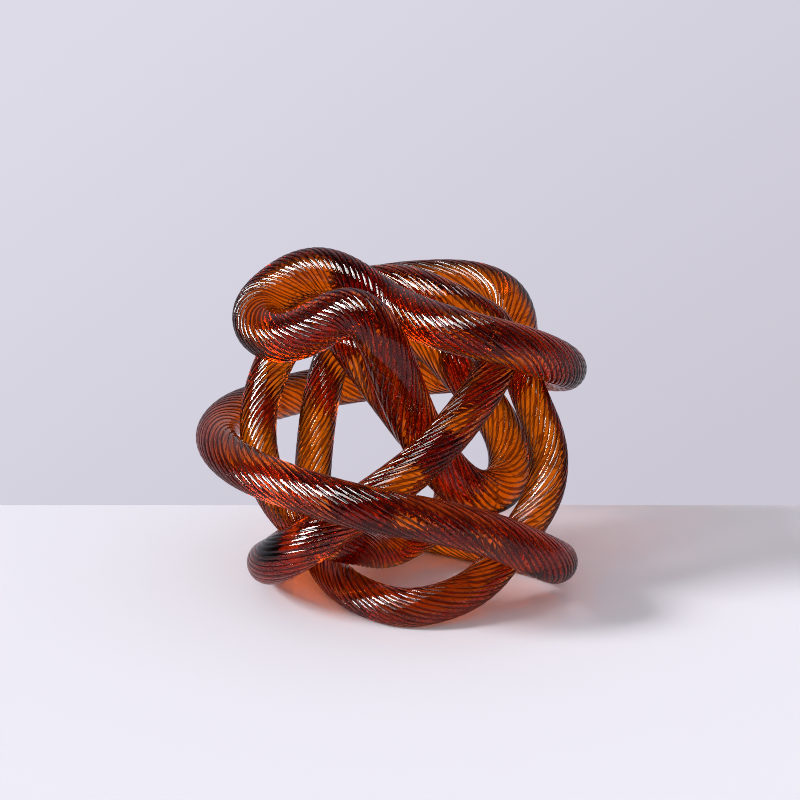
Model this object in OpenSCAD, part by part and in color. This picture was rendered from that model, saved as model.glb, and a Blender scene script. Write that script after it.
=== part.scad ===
// Glass knot figurine: one ribbed glass rope wound into a ball, fused end to end.
// The rope is divided into named stretches that meet face to face.
// Units are millimetres, +Z is up, and the origin is under the middle of the knot.

/* [Rope] */
// Mean thickness of the glass rope
rope_d = 13; // [11:0.5:15]
// Clear gap left between strands that cross
strand_gap = 0.6; // [0.4:0.1:1.4]
// Facets round the rope
rope_sides = 16; // [12:2:20]
// Rings in each span between two route points
span_rings = 3; // [2:1:4]

/* [Foot] */
// Depth of the flats where the knot rests
foot_depth = 0.6; // [0.4:0.1:1]

/* [Colour] */
// Glass seen against the light
light_amber = "chocolate"; // [chocolate, peru, sienna]
// Glass seen against itself
deep_amber = "saddlebrown"; // [saddlebrown, maroon, sienna]

/* [Hidden] */

// Strand spacing that the route is drawn for, and how far the route follows the rope
drawn_pitch = 13.6;
spread = (rope_d + strand_gap) / drawn_pitch;
// The route is drawn square to a line of sight that looks down this many degrees
look_down = 19;

// Route of the rope, one row of points for each stretch, in the order of NODES.
// A point is right, up and back from the middle of the knot, then the girth against rope_d.
ROUTE = [
    // right_upper_turn
    [[51, 21.5, -15, 1.05], [54.5, 20, -2, 1], [51.5, 20.5, 11, 1.03]],
    // back_band
    [[44.5, 22, 22, 1.06], [33, 22, 32.5, 1.08], [18, 21, 40.5, 1.08], [2, 20, 43.5, 1.08],
        [-12, 18, 42.5, 1.08], [-24, 16, 38.5, 1.08], [-35, 13, 30.5, 1.08]],
    // left_turn
    [[-45.5, 9.5, 20, 1.05], [-51, 6.5, 8, 1], [-54, 1.5, -4, 0.96], [-51.5, -3.5, -17, 1]],
    // front_band
    [[-43.5, -9, -30, 1.03], [-33, -13, -38, 1], [-17, -18, -46.5, 1], [-3, -21, -48.5, 1],
        [11, -23.5, -46, 1], [26, -27, -40, 1.02]],
    // right_lower_turn
    [[38, -32, -33, 1.05], [46, -36, -26, 1.07], [50, -38, -13, 1.04], [50, -38, 0, 1.03]],
    // back_floor_run
    [[43, -36.5, 9.5, 1.02], [30, -34.5, 18, 1], [16, -32, 25.5, 1], [0, -29, 33, 1],
        [-13, -28.5, 34.5, 1]],
    // left_lower_turn
    [[-23, -29.5, 29.5, 1], [-31, -34, 20, 1], [-36.5, -38, 8, 1], [-37.5, -38.5, -4, 1.04],
        [-36, -37.5, -18, 1.08]],
    // front_diagonal
    [[-31.5, -35, -28, 1.09], [-25, -31.5, -32, 1.06], [-16.5, -26, -33, 1.03],
        [-7, -19.5, -33, 1], [5, -11, -32, 0.98], [13, -4, -30, 0.96], [20, 4, -27, 0.96],
        [26, 12, -22.5, 0.96]],
    // shoulder_bend
    [[30.5, 19, -18, 0.96], [33.5, 26, -13, 0.96], [31.5, 33, -11, 0.98], [24.5, 36.5, -12.5, 1]],
    // crown_front_run
    [[16, 40.5, -13, 1.03], [6.5, 45, -9, 1.03], [-2, 46, -6, 1.02]],
    // crown_left_arch
    [[-11, 45, -5, 1], [-20, 42, -4, 0.98], [-28, 36, -3, 0.95], [-33.5, 27.5, -3.5, 0.93]],
    // left_side_run
    [[-38, 18, -4, 0.92], [-40.5, 8, -5, 0.9], [-40.5, -1, -7, 0.87], [-39, -10, -9, 0.89],
        [-35, -18, -11, 0.91], [-29.5, -25, -12.5, 0.91]],
    // inner_floor_run
    [[-23, -29.5, -15, 0.9], [-16.5, -32, -17.5, 0.88], [-10.5, -33, -14, 0.87],
        [-6, -35, -3, 0.88], [-0.5, -36, 8.5, 0.9], [6.5, -32.5, 11.5, 0.91]],
    // inner_hook
    [[13, -28.5, 10.5, 0.91], [19, -23, 11, 0.92], [20, -15.5, 12, 0.93], [15.5, -8, 10, 0.94]],
    // inner_diagonal
    [[8, 0, 5, 0.95], [2.5, 7.5, 4, 0.95], [-4, 16, 3, 0.95], [-9, 23, 1.5, 0.95]],
    // crown_inner_bend
    [[-14, 29.5, 3, 0.95], [-17, 36, 8, 0.94], [-16, 42.5, 13, 0.94], [-10, 47, 17, 0.95]],
    // crown_back_run
    [[-1, 49.5, 20, 0.95], [9, 50.5, 21.5, 0.96], [22, 51, 21, 0.96], [32.5, 48.5, 18, 0.96],
        [38.5, 43, 13, 0.96]],
    // right_side_run
    [[40, 35, 7, 0.95], [39.5, 25, 1, 0.92], [41, 15, -3, 0.89], [45.5, 5, -5.5, 0.92],
        [48.5, -5, -6, 0.94], [47.5, -16, -7, 0.93]],
    // floor_bow
    [[42.5, -25, -9, 0.92], [36, -33, -11.5, 0.9], [30.5, -40.5, -17, 0.9],
        [22, -46.5, -22.5, 0.91], [12, -49.5, -25.5, 0.9], [3, -50.5, -25.5, 0.9],
        [-6, -48.5, -21.5, 0.89], [-13.5, -45.5, -13, 0.88]],
    // left_inner_post
    [[-19, -41.5, -2, 0.88], [-22, -36.5, 4, 0.89], [-23.5, -30.5, 8, 0.9], [-25, -22, 9, 0.91],
        [-24.5, -8, 10, 0.92], [-23, 7, 11, 0.92], [-21, 17, 13, 0.92]],
    // inner_arch
    [[-19, 25, 16, 0.92], [-15, 31, 20.5, 0.94], [-8.5, 35.5, 24, 0.95], [-1, 37, 25, 0.97],
        [7, 34, 22, 0.98]],
    // right_inner_run
    [[14, 29, 18, 1], [21, 21, 15, 1], [30, 11, 14, 1], [36, 1, 12, 1.02]],
    // u_bend
    [[38, -8, 10, 1.06], [36, -15.5, 6, 1.1], [29, -18.5, 1, 1.13], [22, -16, -4, 1.12]],
    // centre_fall
    [[16, -10, -7.5, 1.12], [11, -3, -11.5, 1.12], [6, 6, -18.5, 1.13], [1.5, 17, -29, 1.14]],
    // loop_neck
    [[-2, 26.5, -38, 1.09], [-6, 33, -40, 1.06], [-12.5, 36.5, -38, 1.1]],
    // loop_front_limb
    [[-19.5, 32.5, -34, 1.17], [-27, 29, -30.5, 1.18]],
    // loop_turn
    [[-34.5, 28.5, -27, 1.17], [-39.5, 32, -22, 1.16], [-40, 38, -17, 1.16], [-35.5, 43, -15, 1.16]],
    // loop_back_limb
    [[-29, 47.5, -16, 1.16], [-21.5, 49.5, -18, 1.14], [-14, 47, -20, 1.11], [-7, 42.5, -20.5, 1.08]],
    // top_band
    [[-1, 38.5, -21, 1.06], [6, 35, -26, 1.05], [18, 30, -34.5, 1.04], [31, 27, -35, 1.04],
        [43, 24, -27, 1.06]]];

// All the points in one closed row, and where each stretch starts in it
POINTS = [for (row = ROUTE) each row];
function points_before(i) = i == 0 ? 0 : points_before(i - 1) + len(ROUTE[i - 1]);
STARTS = [for (i = [0 : len(ROUTE)]) points_before(i)];
point_n = len(POINTS);
ring_n = point_n * span_rings;

// A point of the route by its number, counted round the closed rope
function route_point(i) = POINTS[(i + point_n) % point_n];
// The smooth curve that four neighbours, a to d, guide from near b to near c as t goes 0 to 1
function smooth(a, b, c, d, t) = (pow(1 - t, 3) * a + (4 - 6 * t * t + 3 * pow(t, 3)) * b
    + (1 + 3 * t + 3 * t * t - 3 * pow(t, 3)) * c + pow(t, 3) * d) / 6;
function smooth_at(i, t) = smooth(route_point(i - 1), route_point(i), route_point(i + 1),
    route_point(i + 2), t);
// A drawn point turned upright, at the size that the rope asks for
function upright(p) = spread * [p.x,
    p.y * sin(look_down) + p.z * cos(look_down),
    p.y * cos(look_down) - p.z * sin(look_down)];

DRAWN = [for (k = [0 : ring_n - 1]) smooth_at(floor(k / span_rings), (k % span_rings) / span_rings)];
RADII = [for (p = DRAWN) p[3] * rope_d / 2];
LINE = [for (p = DRAWN) upright(p)];

// Directions along the rope and a side direction carried along it without twist
function unit(v) = v / norm(v);
TANGENTS = [for (k = [0 : ring_n - 1]) unit(LINE[(k + 1) % ring_n] - LINE[(k + ring_n - 1) % ring_n])];
function carried(side, t) = unit(side - (side * t) * t);
SIDES = [for (k = 0, side = carried([0, 0, 1], TANGENTS[0]); k <= ring_n;
    k = k + 1, side = carried(side, TANGENTS[k % ring_n])) side];
// Angle by which the side direction misses itself after one round, spread over the rope
miss = atan2(cross(TANGENTS[0], SIDES[0]) * SIDES[ring_n], SIDES[0] * SIDES[ring_n]);

// One ring of points round the rope
function ring(k) = let (t = TANGENTS[k % ring_n], u = SIDES[k], v = cross(t, u))
    [for (j = [0 : rope_sides - 1]) let (a = 360 * j / rope_sides - miss * k / ring_n)
        LINE[k % ring_n] + RADII[k % ring_n] * (cos(a) * u + sin(a) * v)];

// Bounds of the rings give the origin: middle of the plan, at the flats
SKIN = [for (k = [0 : ring_n - 1]) each ring(k)];
function middle(values) = (min(values) + max(values)) / 2;
ORIGIN = [middle([for (p = SKIN) p.x]), middle([for (p = SKIN) p.y]),
    min([for (p = SKIN) p.z]) + foot_depth];
reach = max([for (p = SKIN) norm(p - ORIGIN)]);

// Least clear gap of the rope to itself, leaving out rings that are neighbours along it
near_rings = ceil(2.5 * rope_d * ring_n / rope_length());
function rope_length() = [for (k = [0 : ring_n - 1]) norm(LINE[(k + 1) % ring_n] - LINE[k])]
    * [for (k = [0 : ring_n - 1]) 1];
function least_gap() = min([for (k = [0 : ring_n - 1]) for (m = [k + near_rings : 1 : ring_n - 1])
    if (k + ring_n - m >= near_rings) norm(LINE[k] - LINE[m]) - RADII[k] - RADII[m]]);

// A closed tube over rings first to last, with flat ends
module tube(first, last) {
    n = rope_sides;
    m = last - first;
    points = [for (k = [first : last]) each ring(k)];
    skin = [for (k = [0 : m - 1]) for (j = [0 : n - 1])
        let (a = k * n + j, b = k * n + (j + 1) % n) each [[a, a + n, b], [b, a + n, b + n]]];
    start_cap = [for (j = [1 : n - 2]) [0, j, j + 1]];
    end_cap = [for (j = [1 : n - 2]) [m * n, m * n + j + 1, m * n + j]];
    polyhedron(points, concat(skin, start_cap, end_cap));
}

// One stretch of the rope, from its first point to the next stretch's first point,
// cut flat where it would pass below the surface that the knot rests on
module stretch(i) {
    difference() {
        translate(-ORIGIN) tube(STARTS[i] * span_rings, STARTS[i + 1] * span_rings);
        translate([-reach, -reach, -reach]) cube([2 * reach, 2 * reach, reach]);
    }
}

// The stretches, in the order in which the rope runs
module right_upper_turn() { color(deep_amber) stretch(0); }
module back_band() { color(light_amber) stretch(1); }
module left_turn() { color(deep_amber) stretch(2); }
module front_band() { color(deep_amber) stretch(3); }
module right_lower_turn() { color(deep_amber) stretch(4); }
module back_floor_run() { color(deep_amber) stretch(5); }
module left_lower_turn() { color(deep_amber) stretch(6); }
module front_diagonal() { color(deep_amber) stretch(7); }
module shoulder_bend() { color(deep_amber) stretch(8); }
module crown_front_run() { color(deep_amber) stretch(9); }
module crown_left_arch() { color(deep_amber) stretch(10); }
module left_side_run() { color(light_amber) stretch(11); }
module inner_floor_run() { color(light_amber) stretch(12); }
module inner_hook() { color(deep_amber) stretch(13); }
module inner_diagonal() { color(deep_amber) stretch(14); }
module crown_inner_bend() { color(deep_amber) stretch(15); }
module crown_back_run() { color(light_amber) stretch(16); }
module right_side_run() { color(light_amber) stretch(17); }
module floor_bow() { color(deep_amber) stretch(18); }
module left_inner_post() { color(light_amber) stretch(19); }
module inner_arch() { color(deep_amber) stretch(20); }
module right_inner_run() { color(deep_amber) stretch(21); }
module u_bend() { color(deep_amber) stretch(22); }
module centre_fall() { color(deep_amber) stretch(23); }
module loop_neck() { color(deep_amber) stretch(24); }
module loop_front_limb() { color(deep_amber) stretch(25); }
module loop_turn() { color(deep_amber) stretch(26); }
module loop_back_limb() { color(deep_amber) stretch(27); }
module top_band() { color(deep_amber) stretch(28); }

right_upper_turn();
back_band();
left_turn();
front_band();
right_lower_turn();
back_floor_run();
left_lower_turn();
front_diagonal();
shoulder_bend();
crown_front_run();
crown_left_arch();
left_side_run();
inner_floor_run();
inner_hook();
inner_diagonal();
crown_inner_bend();
crown_back_run();
right_side_run();
floor_bow();
left_inner_post();
inner_arch();
right_inner_run();
u_bend();
centre_fall();
loop_neck();
loop_front_limb();
loop_turn();
loop_back_limb();
top_band();
echo(rope_length = rope_length(), least_gap = least_gap());
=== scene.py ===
"""Glass knot figurine: one ribbed, twisted rope of amber glass on a pale table, in metres."""
import math

import bpy
import numpy as np
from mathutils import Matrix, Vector


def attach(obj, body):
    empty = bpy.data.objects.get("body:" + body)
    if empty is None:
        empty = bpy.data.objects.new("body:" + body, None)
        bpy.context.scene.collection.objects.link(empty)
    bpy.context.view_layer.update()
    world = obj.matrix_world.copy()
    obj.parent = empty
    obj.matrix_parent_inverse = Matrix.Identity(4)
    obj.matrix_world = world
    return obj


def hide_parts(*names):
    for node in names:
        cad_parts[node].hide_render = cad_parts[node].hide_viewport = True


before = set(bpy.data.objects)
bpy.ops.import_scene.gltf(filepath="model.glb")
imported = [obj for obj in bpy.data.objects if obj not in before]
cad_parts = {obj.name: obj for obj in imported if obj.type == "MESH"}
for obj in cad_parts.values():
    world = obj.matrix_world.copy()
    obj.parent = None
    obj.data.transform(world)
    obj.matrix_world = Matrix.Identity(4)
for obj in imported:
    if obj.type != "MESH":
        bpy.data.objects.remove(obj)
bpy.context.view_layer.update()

# The route and the rope are in mm
MM = 0.001

# Values of the part's source: the rope's diameter at girth 1, the angle that the camera looks down by,
# and what is taken off the drawn route, so that the knot stands over the origin
ROPE_D = 13.0
LOOK_DOWN = math.radians(19)
ORIGIN = np.array([0.242, -2.231, -44.434])

# The rope's skin: rings in each span of the route, and how far the skin lies inside the solids
SPAN_RINGS = 7
SKIN_INSET = 0.12

# Ribs with broad crests and narrow valleys, and the columns of points that make each rib
RIBS = 21
RIB_COLUMNS = 10
RIB_DEPTH = 0.4
RIB_FLATNESS = 0.28
# Uneven spacing of the ribs: waves round the rope, and how far each wave moves them, in radians
RIB_SWAY = {5: 0.03, 13: 0.02}

# The twist: turns in all, the power by which thin glass twists more, and the rings that blend a change
TURNS = 22
THIN_TWIST = 1.5
BLEND_RINGS = 20
# How much more or less the hot rope was twisted in some stretches than along the rest
TWIST = {"loop_neck": 1.6, "loop_front_limb": 2.8, "loop_turn": 2.7, "loop_back_limb": 2.7,
         "centre_fall": 0.65, "right_upper_turn": 2.5, "right_lower_turn": 1.8, "front_band": 0.9,
         "left_lower_turn": 1.2, "left_turn": 1.4, "left_side_run": 1.25, "u_bend": 1.5,
         "back_band": 1.4}

# Glass: what its body lets through, per metre, and its tint from painted valley shade to its own colour on
# crests
AMBER = (0.955, 0.815, 0.4, 1)
AMBER_DENSITY = 500
VALLEY_SHADE = (0.12, 0.03, 0.013, 1)
CREST = (1, 0.42, 0.08, 1)
# Streaks from the drawing: how many lie round the rope and along it
STREAKS = (2 * RIBS, 170, 1)
# Roughness: how much the streaks spread it, and how much the glass's own polish takes off
ROUGH_SPREAD = 0.12
POLISH = 0.03
# How much less the ribs on the far side of the glass bend what is seen through it
FAR_RIB_SOFTNESS = 0.6

# Table top: how far it reaches, its edge behind the knot, its colour, and a darker colour painted in for
# its reflection in glass
TABLE_REACH = 3
TABLE_EDGE = 0.057
TABLE = (0.82, 0.805, 0.88, 1)
TABLE_PAINTED_DARK_IN_GLASS = (0.42, 0.41, 0.44, 1)

# World: the wall as the camera sees it, painted lighter at the left and darker to the right and down, then
# through the glass and mirrored, the room, and plain light
WALL_PAINTED_LIT_LEFT = (0.723, 0.708, 0.807, 1)
WALL_PAINTED_DIM_RIGHT = (0.597, 0.571, 0.658, 1)
WALL_THROUGH = (0.77, 0.75, 0.83, 1)
WALL_MIRRORED = (0.42, 0.41, 0.47, 1)
ROOM_THROUGH = (0.07, 0.07, 0.075, 1)
ROOM_MIRRORED = (0.022, 0.022, 0.024, 1)
LIGHT_FRONT = (0.9, 0.9, 0.91, 1)
LIGHT_BACK = (0.28, 0.28, 0.29, 1)
# Directions along which the world's light changes
TO_BACK = (0, 1, 0)
TO_RIGHT_AND_DOWN = (1, 0, -1.4)

# Lamps: the point that they aim at, and the key light's place, strength and width
LAMP_AIM = (0, 0, 0.05)
KEY_PLACE = (-1.62, -0.344, 1.168)
KEY_STRENGTH = 2.7
KEY_WIDTH = math.radians(15)

# Camera: its distance and its sensor's width, in mm
DISTANCE = 490
SENSOR = 36
# The picture's size, and the camera's focal length and shift, in pixels
PICTURE = 800
FOCAL = 1591
SHIFT = (9, 36)

# A Mix node's two inputs and output, by number, because their names repeat for each kind of data
MIX_SOCKETS = {"VECTOR": (4, 5, 1), "RGBA": (6, 7, 2)}

# The route of the part's source, one row for each stretch: right, up, back (mm) and girth
ROUTE = {
    "right_upper_turn": [(51, 21.5, -15, 1.05), (54.5, 20, -2, 1), (51.5, 20.5, 11, 1.03)],
    "back_band": [(44.5, 22, 22, 1.06), (33, 22, 32.5, 1.08), (18, 21, 40.5, 1.08),
                  (2, 20, 43.5, 1.08), (-12, 18, 42.5, 1.08), (-24, 16, 38.5, 1.08),
                  (-35, 13, 30.5, 1.08)],
    "left_turn": [(-45.5, 9.5, 20, 1.05), (-51, 6.5, 8, 1), (-54, 1.5, -4, 0.96),
                  (-51.5, -3.5, -17, 1)],
    "front_band": [(-43.5, -9, -30, 1.03), (-33, -13, -38, 1), (-17, -18, -46.5, 1),
                   (-3, -21, -48.5, 1), (11, -23.5, -46, 1), (26, -27, -40, 1.02)],
    "right_lower_turn": [(38, -32, -33, 1.05), (46, -36, -26, 1.07), (50, -38, -13, 1.04),
                         (50, -38, 0, 1.03)],
    "back_floor_run": [(43, -36.5, 9.5, 1.02), (30, -34.5, 18, 1), (16, -32, 25.5, 1),
                       (0, -29, 33, 1), (-13, -28.5, 34.5, 1)],
    "left_lower_turn": [(-23, -29.5, 29.5, 1), (-31, -34, 20, 1), (-36.5, -38, 8, 1),
                        (-37.5, -38.5, -4, 1.04), (-36, -37.5, -18, 1.08)],
    "front_diagonal": [(-31.5, -35, -28, 1.09), (-25, -31.5, -32, 1.06), (-16.5, -26, -33, 1.03),
                       (-7, -19.5, -33, 1), (5, -11, -32, 0.98), (13, -4, -30, 0.96),
                       (20, 4, -27, 0.96), (26, 12, -22.5, 0.96)],
    "shoulder_bend": [(30.5, 19, -18, 0.96), (33.5, 26, -13, 0.96), (31.5, 33, -11, 0.98),
                      (24.5, 36.5, -12.5, 1)],
    "crown_front_run": [(16, 40.5, -13, 1.03), (6.5, 45, -9, 1.03), (-2, 46, -6, 1.02)],
    "crown_left_arch": [(-11, 45, -5, 1), (-20, 42, -4, 0.98), (-28, 36, -3, 0.95),
                        (-33.5, 27.5, -3.5, 0.93)],
    "left_side_run": [(-38, 18, -4, 0.92), (-40.5, 8, -5, 0.9), (-40.5, -1, -7, 0.87),
                      (-39, -10, -9, 0.89), (-35, -18, -11, 0.91), (-29.5, -25, -12.5, 0.91)],
    "inner_floor_run": [(-23, -29.5, -15, 0.9), (-16.5, -32, -17.5, 0.88), (-10.5, -33, -14, 0.87),
                        (-6, -35, -3, 0.88), (-0.5, -36, 8.5, 0.9), (6.5, -32.5, 11.5, 0.91)],
    "inner_hook": [(13, -28.5, 10.5, 0.91), (19, -23, 11, 0.92), (20, -15.5, 12, 0.93),
                   (15.5, -8, 10, 0.94)],
    "inner_diagonal": [(8, 0, 5, 0.95), (2.5, 7.5, 4, 0.95), (-4, 16, 3, 0.95), (-9, 23, 1.5, 0.95)],
    "crown_inner_bend": [(-14, 29.5, 3, 0.95), (-17, 36, 8, 0.94), (-16, 42.5, 13, 0.94),
                         (-10, 47, 17, 0.95)],
    "crown_back_run": [(-1, 49.5, 20, 0.95), (9, 50.5, 21.5, 0.96), (22, 51, 21, 0.96),
                       (32.5, 48.5, 18, 0.96), (38.5, 43, 13, 0.96)],
    "right_side_run": [(40, 35, 7, 0.95), (39.5, 25, 1, 0.92), (41, 15, -3, 0.89),
                       (45.5, 5, -5.5, 0.92), (48.5, -5, -6, 0.94), (47.5, -16, -7, 0.93)],
    "floor_bow": [(42.5, -25, -9, 0.92), (36, -33, -11.5, 0.9), (30.5, -40.5, -17, 0.9),
                  (22, -46.5, -22.5, 0.91), (12, -49.5, -25.5, 0.9), (3, -50.5, -25.5, 0.9),
                  (-6, -48.5, -21.5, 0.89), (-13.5, -45.5, -13, 0.88)],
    "left_inner_post": [(-19, -41.5, -2, 0.88), (-22, -36.5, 4, 0.89), (-23.5, -30.5, 8, 0.9),
                        (-25, -22, 9, 0.91), (-24.5, -8, 10, 0.92), (-23, 7, 11, 0.92),
                        (-21, 17, 13, 0.92)],
    "inner_arch": [(-19, 25, 16, 0.92), (-15, 31, 20.5, 0.94), (-8.5, 35.5, 24, 0.95),
                   (-1, 37, 25, 0.97), (7, 34, 22, 0.98)],
    "right_inner_run": [(14, 29, 18, 1), (21, 21, 15, 1), (30, 11, 14, 1), (36, 1, 12, 1.02)],
    "u_bend": [(38, -8, 10, 1.06), (36, -15.5, 6, 1.1), (29, -18.5, 1, 1.13), (22, -16, -4, 1.12)],
    "centre_fall": [(16, -10, -7.5, 1.12), (11, -3, -11.5, 1.12), (6, 6, -18.5, 1.13),
                    (1.5, 17, -29, 1.14)],
    "loop_neck": [(-2, 26.5, -38, 1.09), (-6, 33, -40, 1.06), (-12.5, 36.5, -38, 1.1)],
    "loop_front_limb": [(-19.5, 32.5, -34, 1.17), (-27, 29, -30.5, 1.18)],
    "loop_turn": [(-34.5, 28.5, -27, 1.17), (-39.5, 32, -22, 1.16), (-40, 38, -17, 1.16),
                  (-35.5, 43, -15, 1.16)],
    "loop_back_limb": [(-29, 47.5, -16, 1.16), (-21.5, 49.5, -18, 1.14), (-14, 47, -20, 1.11),
                       (-7, 42.5, -20.5, 1.08)],
    "top_band": [(-1, 38.5, -21, 1.06), (6, 35, -26, 1.05), (18, 30, -34.5, 1.04),
                 (31, 27, -35, 1.04), (43, 24, -27, 1.06)],
}


def smooth_line():
    """Centres (mm) and radii of the rings of the closed rope, on a uniform cubic B-spline."""
    points = np.array([p for row in ROUTE.values() for p in row], float)
    t = (np.arange(SPAN_RINGS) / SPAN_RINGS)[None, :, None]
    a, b, c, d = (np.roll(points, shift, axis=0)[:, None, :] for shift in (1, 0, -1, -2))
    curve = ((1 - t) ** 3 * a + (4 - 6 * t ** 2 + 3 * t ** 3) * b
             + (1 + 3 * t + 3 * t ** 2 - 3 * t ** 3) * c + t ** 3 * d) / 6
    right, up, back, girth = curve.reshape(-1, 4).T
    sin, cos = math.sin(LOOK_DOWN), math.cos(LOOK_DOWN)
    line = np.stack([right, up * sin + back * cos, up * cos - back * sin], axis=1)
    return line - ORIGIN, girth * ROPE_D / 2


def carried_sides(line):
    """For each ring, the rope's direction and a side direction that is carried along the rope.

    The third value is the angle by which the side direction comes back turned after one round.
    """
    tangents = np.roll(line, -1, axis=0) - np.roll(line, 1, axis=0)
    tangents /= np.linalg.norm(tangents, axis=1)[:, None]
    side = np.array([0.0, 0.0, 1.0])
    sides = []
    for tangent in np.concatenate([tangents, tangents[:1]]):
        side = side - (side @ tangent) * tangent
        side = side / np.linalg.norm(side)
        sides.append(side)
    first, last = sides[0], sides.pop()
    miss = math.atan2(np.cross(tangents[0], first) @ last, first @ last)
    return tangents, np.array(sides), miss


def twist_along(radii, steps, miss):
    """The angle that the ribs have turned by at each ring, so that they meet after the last ring."""
    window = 2 * BLEND_RINGS + 1
    rate = np.repeat([TWIST.get(name, 1.0) for name, row in ROUTE.items() for _ in row], SPAN_RINGS)
    rate = np.concatenate([rate[-BLEND_RINGS:], rate, rate[:BLEND_RINGS]])
    rate = np.convolve(rate, np.ones(window) / window, "valid") * steps / radii ** THIN_TWIST
    n = len(radii)
    return 2 * math.pi * TURNS * (np.cumsum(rate) - rate) / rate.sum() - miss * np.arange(n) / n


def rope_mesh():
    """The ribbed rope as one closed skin: columns of points follow the ribs round the twist."""
    line, radii = smooth_line()
    tangents, sides, miss = carried_sides(line)
    steps = np.linalg.norm(np.roll(line, -1, axis=0) - line, axis=1)
    along = np.concatenate([[0.0], np.cumsum(steps)])
    n, columns = len(line), RIBS * RIB_COLUMNS
    phase = np.arange(columns) / columns
    sway = sum(size * np.sin(2 * math.pi * waves * phase) for waves, size in RIB_SWAY.items())
    angle = (2 * math.pi * phase + sway)[None, :] + twist_along(radii, steps, miss)[:, None]
    across = np.cross(tangents, sides)
    outward = (np.cos(angle)[:, :, None] * sides[:, None, :]
               + np.sin(angle)[:, :, None] * across[:, None, :])
    rib = np.abs(np.cos(math.pi * RIBS * phase)) ** RIB_FLATNESS
    radius = radii[:, None] - SKIN_INSET - RIB_DEPTH * (1 - rib)[None, :]
    points = (line[:, None, :] + radius[:, :, None] * outward).reshape(-1, 3)
    # The lowest strands stand on flats
    points[:, 2] = np.maximum(points[:, 2], 0.0)

    ring, column = np.meshgrid(np.arange(n), np.arange(columns), indexing="ij")
    after, beside = (ring + 1) % n, (column + 1) % columns
    corners = [ring * columns + column, ring * columns + beside,
               after * columns + beside, after * columns + column]
    mesh = bpy.data.meshes.new("glass_rope")
    mesh.from_pydata((points * MM).tolist(), [], np.stack(corners, axis=2).reshape(-1, 4).tolist())
    mesh.shade_smooth()
    inward = mesh.attributes.new("inward", "FLOAT_VECTOR", "POINT")
    inward.data.foreach_set("vector", -outward.ravel())
    here, there = phase[column], phase[column] + 1 / columns
    u = np.stack([here, there, there, here], axis=2)
    v = np.stack([along[ring], along[ring], along[ring + 1], along[ring + 1]], axis=2) / along[-1]
    mesh.uv_layers.new(name="rope").data.foreach_set("uv", np.stack([u, v], axis=3).ravel())
    return mesh


def node(tree, kind, **values):
    """A shader node with its sockets, by name, and its settings given."""
    made = tree.nodes.new(kind)
    for key, value in values.items():
        name = key.replace("_", " ")
        if name in made.inputs:
            made.inputs[name].default_value = value
        else:
            setattr(made, key, value)
    return made


def feed(tree, socket, value):
    """Gives a socket another node's output or a constant."""
    if isinstance(value, bpy.types.NodeSocket):
        tree.links.new(value, socket)
    else:
        socket.default_value = value


def maths(tree, operation, *terms):
    """The output of a Math node on constants and other nodes' outputs."""
    made = node(tree, "ShaderNodeMath", operation=operation)
    for socket, term in zip(made.inputs, terms):
        feed(tree, socket, term)
    return made.outputs["Value"]


def mixed(tree, kind, share, first, second):
    """The output of a Mix node, which goes from first to second as the share goes from 0 to 1."""
    made = node(tree, "ShaderNodeMix", data_type=kind)
    socket_a, socket_b, result = MIX_SOCKETS[kind]
    feed(tree, made.inputs[0], share)
    feed(tree, made.inputs[socket_a], first)
    feed(tree, made.inputs[socket_b], second)
    return made.outputs[result]


def amber_glass():
    """Amber glass with painted shade in the valleys between the ribs and long, broken streaks from the
    drawing.
    """
    mat = bpy.data.materials.new("amber_glass")
    mat.use_nodes = True
    tree = mat.node_tree
    tree.nodes.clear()
    link = tree.links.new
    out = tree.nodes.new("ShaderNodeOutputMaterial")
    glass = node(tree, "ShaderNodeBsdfPrincipled", IOR=1.5, Transmission_Weight=1.0,
                 Specular_IOR_Level=0.5)
    absorb = node(tree, "ShaderNodeVolumeAbsorption", Color=AMBER, Density=AMBER_DENSITY)
    link(glass.outputs["BSDF"], out.inputs["Surface"])
    link(absorb.outputs["Volume"], out.inputs["Volume"])

    coords = node(tree, "ShaderNodeUVMap", uv_map="rope")
    split = tree.nodes.new("ShaderNodeSeparateXYZ")
    link(coords.outputs["UV"], split.inputs["Vector"])
    round_rib = maths(tree, "MULTIPLY", split.outputs["X"], math.pi * RIBS)
    crest = maths(tree, "ABSOLUTE", maths(tree, "COSINE", round_rib))

    drawn = node(tree, "ShaderNodeMapping", Scale=STREAKS)
    link(coords.outputs["UV"], drawn.inputs["Vector"])
    noise = node(tree, "ShaderNodeTexNoise", Scale=1.0, Detail=3.0)
    link(drawn.outputs["Vector"], noise.inputs["Vector"])
    streak = node(tree, "ShaderNodeMapRange", From_Min=0.4, From_Max=0.66, To_Max=0.9)
    link(noise.outputs["Fac"], streak.inputs["Value"])

    surface = tree.nodes.new("ShaderNodeNewGeometry")
    inside = surface.outputs["Backfacing"]
    inward = node(tree, "ShaderNodeAttribute", attribute_name="inward")
    softness = maths(tree, "MULTIPLY", inside, FAR_RIB_SOFTNESS)
    link(mixed(tree, "VECTOR", softness, surface.outputs["Normal"], inward.outputs["Vector"]),
         glass.inputs["Normal"])

    # Painted shade: the valleys between the ribs are coloured dark where the ribs' bending of light shades
    # them
    tint_and_valley_shade = tree.nodes.new("ShaderNodeValToRGB")
    valley_shade, top = tint_and_valley_shade.color_ramp.elements
    valley_shade.position, valley_shade.color = 0.1, VALLEY_SHADE
    top.position, top.color = 0.55, CREST
    # The tint and the painted valley shade lie on the outside, so a ray that leaves the glass meets no dark
    # valley
    clear = maths(tree, "MAXIMUM", crest, inside)
    link(maths(tree, "SUBTRACT", clear, streak.outputs["Result"]), tint_and_valley_shade.inputs["Fac"])
    link(tint_and_valley_shade.outputs["Color"], glass.inputs["Base Color"])
    link(maths(tree, "MULTIPLY_ADD", noise.outputs["Fac"], ROUGH_SPREAD, -POLISH),
         glass.inputs["Roughness"])
    return mat


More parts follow.
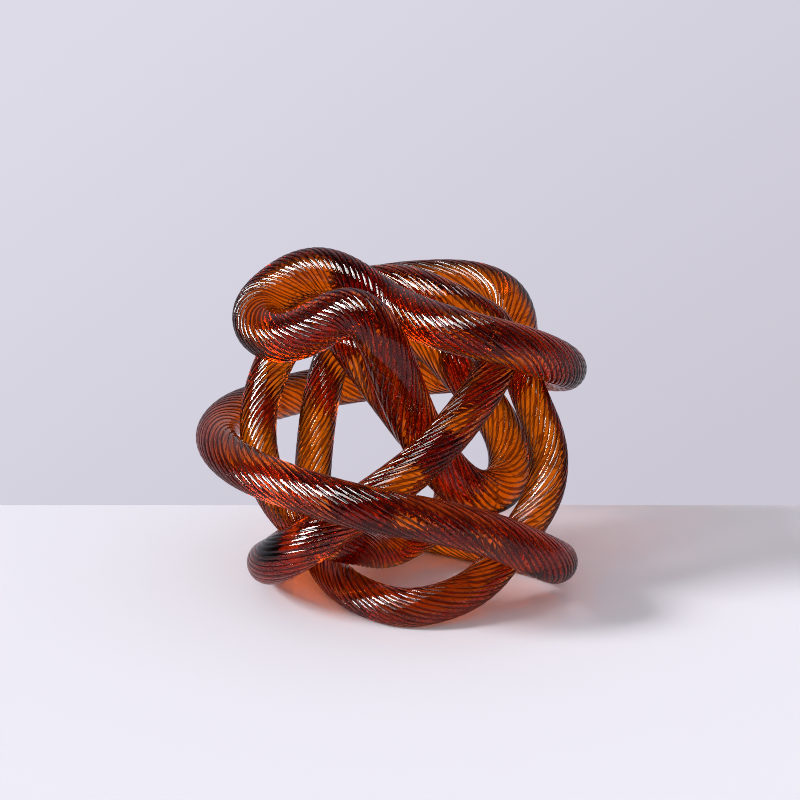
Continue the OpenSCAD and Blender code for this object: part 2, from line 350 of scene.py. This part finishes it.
def build_rope():
    """The rope, in place of all the stretches of the part's source."""
    rope = bpy.data.objects.new("glass_rope", rope_mesh())
    bpy.context.scene.collection.objects.link(rope)
    rope.data.materials.append(amber_glass())
    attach(rope, "root")
    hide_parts(*ROUTE)


def build_table():
    """A pale table top whose far edge shows behind the knot."""
    left, right, front, back = -TABLE_REACH, TABLE_REACH, -TABLE_REACH, TABLE_EDGE
    corners = [(left, front, 0), (right, front, 0), (right, back, 0), (left, back, 0)]
    mesh = bpy.data.meshes.new("table_top")
    mesh.from_pydata(corners, [], [(0, 1, 2, 3)])
    top = bpy.data.objects.new("table_top", mesh)
    bpy.context.scene.collection.objects.link(top)
    mat = bpy.data.materials.new("table_white")
    mat.use_nodes = True
    tree = mat.node_tree
    shader = tree.nodes["Principled BSDF"]
    shader.inputs["Roughness"].default_value = 0.6
    shader.inputs["Specular IOR Level"].default_value = 0.05
    # Painted reflection: mirrored in the glass, the table shows darker than it is lit
    # A ray bent by the glass counts as glossy too
    path = tree.nodes.new("ShaderNodeLightPath").outputs
    mirrored = maths(tree, "SUBTRACT", path["Is Glossy Ray"], path["Is Transmission Ray"])
    tree.links.new(mixed(tree, "RGBA", mirrored, TABLE, TABLE_PAINTED_DARK_IN_GLASS), shader.inputs["Base Color"])
    mesh.materials.append(mat)


def build_world():
    """Plain light all round for the table; the glass shows a bright wall behind it and a dim room."""
    world = bpy.data.worlds.new("studio")
    bpy.context.scene.world = world
    world.use_nodes = True
    tree = world.node_tree
    tree.nodes.clear()
    link = tree.links.new
    out = tree.nodes.new("ShaderNodeOutputWorld")
    coords = tree.nodes.new("ShaderNodeTexCoord")
    path = tree.nodes.new("ShaderNodeLightPath")

    def ramp(axis, low, high, first, last):
        """Light that goes from first to last as the direction's share of the axis goes from low to high."""
        share = node(tree, "ShaderNodeVectorMath", operation="DOT_PRODUCT")
        link(coords.outputs["Generated"], share.inputs[0])
        share.inputs[1].default_value = axis
        spread = node(tree, "ShaderNodeMapRange", From_Min=low, From_Max=high)
        link(share.outputs["Value"], spread.inputs["Value"])
        colour = tree.nodes.new("ShaderNodeValToRGB")
        colour.color_ramp.elements[0].color = first
        colour.color_ramp.elements[1].color = last
        link(spread.outputs["Result"], colour.inputs["Fac"])
        light = tree.nodes.new("ShaderNodeBackground")
        link(colour.outputs["Color"], light.inputs["Color"])
        return light

    def where(ray, otherwise, seen):
        """One light for rays of a kind, and another for the rest."""
        mix = tree.nodes.new("ShaderNodeMixShader")
        link(path.outputs[ray], mix.inputs["Fac"])
        link(otherwise.outputs[0], mix.inputs[1])
        link(seen.outputs[0], mix.inputs[2])
        return mix

    plain = ramp(TO_BACK, low=-0.8, high=0.8, first=LIGHT_FRONT, last=LIGHT_BACK)
    through = ramp(TO_BACK, low=0.66, high=0.95, first=ROOM_THROUGH, last=WALL_THROUGH)
    mirrored = ramp(TO_BACK, low=0.1, high=0.7, first=ROOM_MIRRORED, last=WALL_MIRRORED)
    # Painted light on the wall that the camera sees: lighter at the left, darker to the right and down
    wall = ramp(TO_RIGHT_AND_DOWN, low=-0.08, high=0.67, first=WALL_PAINTED_LIT_LEFT, last=WALL_PAINTED_DIM_RIGHT)
    in_glass = where("Is Transmission Ray", mirrored, through)
    lit = where("Diffuse Depth", in_glass, plain)
    link(where("Is Camera Ray", lit, wall).outputs[0], out.inputs["Surface"])


def add_lamp(data, place, mirrored_only):
    """A lamp aimed at the knot: glass only mirrors some lamps, and the others light it and the table."""
    lamp = bpy.data.objects.new(data.name, data)
    bpy.context.scene.collection.objects.link(lamp)
    lamp.location = place
    lamp.rotation_euler = (Vector(LAMP_AIM) - Vector(place)).to_track_quat("-Z", "Y").to_euler()
    lamp.visible_diffuse = lamp.visible_transmission = not mirrored_only
    lamp.visible_glossy = mirrored_only


def softbox(name, place, size, watts):
    """A square lamp that shows only as white dashes on the ribs."""
    data = bpy.data.lights.new(name, "AREA")
    data.size = size
    data.energy = watts
    add_lamp(data, place, mirrored_only=True)


def build_light():
    """The world, a broad key light from the left, and two softboxes for the glass."""
    build_world()
    key = bpy.data.lights.new("key", "SUN")
    key.energy = KEY_STRENGTH
    key.angle = KEY_WIDTH
    add_lamp(key, KEY_PLACE, mirrored_only=False)
    softbox("glint", place=(-0.67, -0.49, 0.65), size=0.4, watts=20)
    softbox("window", place=(-0.3, -0.64, 1.0), size=0.5, watts=9)


def build_camera():
    """The photograph's camera, which looks down at the point that the route was drawn round."""
    data = bpy.data.cameras.new("camera")
    data.sensor_width = SENSOR
    data.lens = SENSOR * FOCAL / PICTURE
    data.shift_x, data.shift_y = (pixels / PICTURE for pixels in SHIFT)
    data.clip_start = 0.01
    camera = bpy.data.objects.new("camera", data)
    bpy.context.scene.collection.objects.link(camera)
    back_off = DISTANCE * np.array([0, -math.cos(LOOK_DOWN), math.sin(LOOK_DOWN)])
    camera.location = (back_off - ORIGIN) * MM
    camera.rotation_euler = (math.radians(90) - LOOK_DOWN, 0, 0)
    bpy.context.scene.camera = camera


def set_up_render():
    """Plain colours, sharp ribs, and enough bounces for rays to pass through several strands."""
    scene = bpy.context.scene
    scene.view_settings.view_transform = "Standard"
    scene.cycles.filter_width = 1.0
    scene.cycles.denoising_prefilter = "NONE"
    scene.cycles.max_bounces = 24
    scene.cycles.glossy_bounces = 12
    scene.cycles.transmission_bounces = 24


set_up_render()
build_camera()
build_rope()
build_table()
build_light()

bpy.context.view_layer.update()
